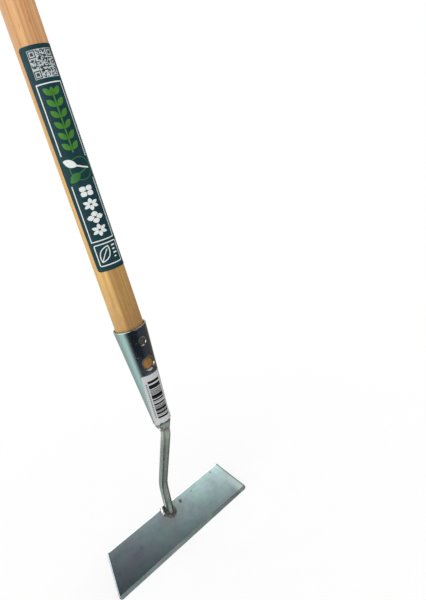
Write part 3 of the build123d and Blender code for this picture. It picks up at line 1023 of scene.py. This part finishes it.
sticker = Wrap("sticker_paper", lambda z: skin_radius(RIM_Z - z) + 0.12, sticker_lift, 0.6, 0.9)
STICKER_TOP, STICKER_LEFT, STICKER_RIGHT = 49.2, -12.2, 16.5
# The sticker's foot, from left to right: arc and depth
STICKER_FOOT = ((-13.7, 104.6), (-12.8, 105.8), (-9.0, 105.4), (-7.4, 104.6), (-6.0, 103.4),
                (-2.5, 103.9), (2.0, 103.3), (7.0, 104.1), (12.0, 103.6), (16.5, 104.2))
# Bars that hold no data: depth and width
BARS = ((55.5, 2.7), (59.9, 4.2), (65.2, 1.0), (67.0, 0.8), (68.4, 0.8), (69.7, 0.7), (71.0, 4.3),
        (76.3, 1.6), (78.7, 0.6), (80.8, 2.0), (83.6, 0.8), (85.0, 1.0), (86.5, 2.9), (90.0, 0.7),
        (91.2, 2.2), (94.2, 0.5), (95.8, 2.0))


def sticker_outline():
    """A strip with rounded top corners, whose foot is pushed up and crumpled beside its left."""
    top = RIM_Z - STICKER_TOP
    strip = rounded(STICKER_LEFT, STICKER_RIGHT, RIM_Z - 104.0, top, 1.6)
    corners = [(x, z) for x, z in strip if z > top - 5.0]
    return corners + [(x, RIM_Z - depth) for x, depth in STICKER_FOOT]


def sticker_artwork():
    sticker.sheet("sticker_sheet", [sticker_outline()], 0.0, 0.14, "sticker_stock",
                  "barcode_sticker")
    bars = [box(-7.5, 5.6, RIM_Z - depth - width, RIM_Z - depth) for depth, width in BARS]
    sticker.sheet("sticker_bars", bars, 0.035, 0.045, "sticker_ink")
    tick_step, tops = 2.3, RIM_Z - 58.2
    ticks = [box(-10.1, -8.6, RIM_Z - 59.6 - tick_step * i, tops - tick_step * i)
             for i in range(17)]
    sticker.sheet("sticker_ticks", ticks, 0.03, 0.04, "sticker_faint_ink")


sticker_artwork()

# Thin ground edges on the blade and the screw that catch the light
for node in ("blade", "socket_screw"):
    edges = nodes[node].modifiers.new("worn_edges", "BEVEL")
    edges.width = 0.12 * MM
    edges.segments = 2
    edges.limit_method = "ANGLE"
    edges.angle_limit = radians(30)
    edges.harden_normals = True


# ---------------------------------------------------------------- studio


def studio_floor():
    half, below_blade = 12.0, 0.0002
    mesh = bpy.data.meshes.new("studio_floor")
    corners = [(-half, -half, 0), (half, -half, 0), (half, half, 0), (-half, half, 0)]
    mesh.from_pydata(corners, [], [(0, 1, 2, 3)])
    mesh.materials.append(floor_finish())
    floor = add_object("studio_floor", mesh)
    floor.location = (0, 0, -below_blade)
    floor.visible_glossy = False


# What glossy surfaces see: (azimuth, brightness) of the walls, and of the floor below the horizon
WALLS = ((-180, 0.46), (-155, 0.44), (-125, 0.60), (-100, 0.76), (-86, 0.60), (-74, 0.22),
         (-60, 0.035), (-46, 0.014), (0, 0.010), (20, 0.045), (90, 0.065), (112, 0.11),
         (130, 0.28), (152, 0.42), (180, 0.46))
FLOOR = ((-180, 0.38), (-130, 0.44), (-104, 0.24), (-80, 0.20), (-58, 0.36), (0, 0.40),
         (45, 0.44), (85, 0.34), (110, 0.20), (140, 0.30), (180, 0.38))


def studio_world():
    """White to the camera and to soft light, and to glossy surfaces a studio with a bright left
    side, a dark front, and a soft panel high on the right."""
    world = bpy.data.worlds.new("studio")
    scene.world = world
    world.use_nodes = True
    world.cycles.sampling_method = "NONE"
    world.node_tree.nodes.clear()
    w = Nodes(world.node_tree)
    direction = w.add("TexCoord").outputs["Generated"]
    x, y, z = w.add("SeparateXYZ", {0: direction}).outputs
    turn = w.times(w.calc("ARCTAN2", x, w.times(y, -1.0)), 180 / pi)
    height = w.times(w.calc("ARCSINE", z), 180 / pi)
    share = w.span(turn, -180.0, 180.0, kind="LINEAR")

    def around_room(levels):
        """Brightness at each azimuth, joined smoothly."""
        return w.ramp(share, *(((azimuth + 180.0) / 360.0, (level, level, level))
                               for azimuth, level in levels))
    walls, floor = around_room(WALLS), around_room(FLOOR)
    panel = w.times(w.span(turn, 20, 44), w.fall(turn, 95, 125), w.span(height, 14, 42), 2.75)
    softbox = w.times(w.span(turn, -140, -120), w.fall(turn, -46, -30), w.span(height, -8, 6),
                      w.fall(height, 50, 64), 2.4)
    rear = w.times(w.span(w.calc("ABSOLUTE", turn), 105, 140), w.span(height, 0, 25),
                   w.fall(height, 60, 76), 1.3)
    patch = w.times(w.span(turn, -30, -10), w.fall(turn, 16, 30), w.span(height, -20, -12),
                    w.fall(height, 2, 12), 0.62)
    under = w.fall(height, -39, -29.5)
    total = w.plus(w.times(walls, w.minus(1.0, under)), w.times(floor, under))
    for light in (panel, softbox, rear, patch):
        total = w.plus(total, light)

    def background(strength):
        return w.add("Background", {0: (1, 1, 1, 1), 1: strength}).outputs[0]
    glossy, soft, white = background(total), background(0.62), background(1.0)
    path = w.add("LightPath").outputs
    mixed = w.add("MixShader", {0: path["Is Glossy Ray"], 1: soft, 2: glossy}).outputs[0]
    mixed = w.add("MixShader", {0: path["Is Camera Ray"], 1: mixed, 2: white}).outputs[0]
    w.add("OutputWorld", {"Surface": mixed})


def add_aimed(name, data, place, aim, roll=0.0):
    """A lamp or camera at a place, turned to what it points at."""
    made = add_object(name, data)
    made.location = place
    made.rotation_mode = "QUATERNION"
    track = (Vector(aim) - Vector(place)).to_track_quat("-Z", "Y")
    made.rotation_quaternion = track @ Quaternion((0, 0, 1), radians(roll))
    return made


def soft_light(name, place, aim, size, power):
    light = bpy.data.lights.new(name, "AREA")
    light.shape, light.size, light.energy = "SQUARE", size, power
    add_aimed(name, light, place, aim).visible_glossy = False


def main_camera():
    """The close view's camera: 31.8 mm lens, looking down at the head from its front left."""
    view = bpy.data.cameras.new("camera")
    view.lens, view.sensor_width = 31.79, 36.0
    view.clip_start, view.clip_end = 0.01, 50.0
    place, aim = (-0.2304, -0.5005, 0.4315), (0.1219, -0.0500, 0.2499)
    scene.camera = add_aimed("camera", view, place, aim, -16.17)


studio_floor()
studio_world()
# Name, place, what it points at, side in metres, and watts
for lamp in (("key", (-1.6, -1.4, 1.9), (0, -0.05, 0.4), 1.6, 21.0),
             ("low", (-0.85, -0.40, 0.16), (0, -0.07, 0.20), 0.4, 1.5),
             ("fill", (1.8, -1.2, 1.2), (0, -0.05, 0.4), 1.4, 9.0),
             ("high", (0.2, 0.9, 2.9), (0, -0.05, 0.6), 1.6, 16.0)):
    soft_light(*lamp)
main_camera()
scene.view_settings.view_transform = "Standard"
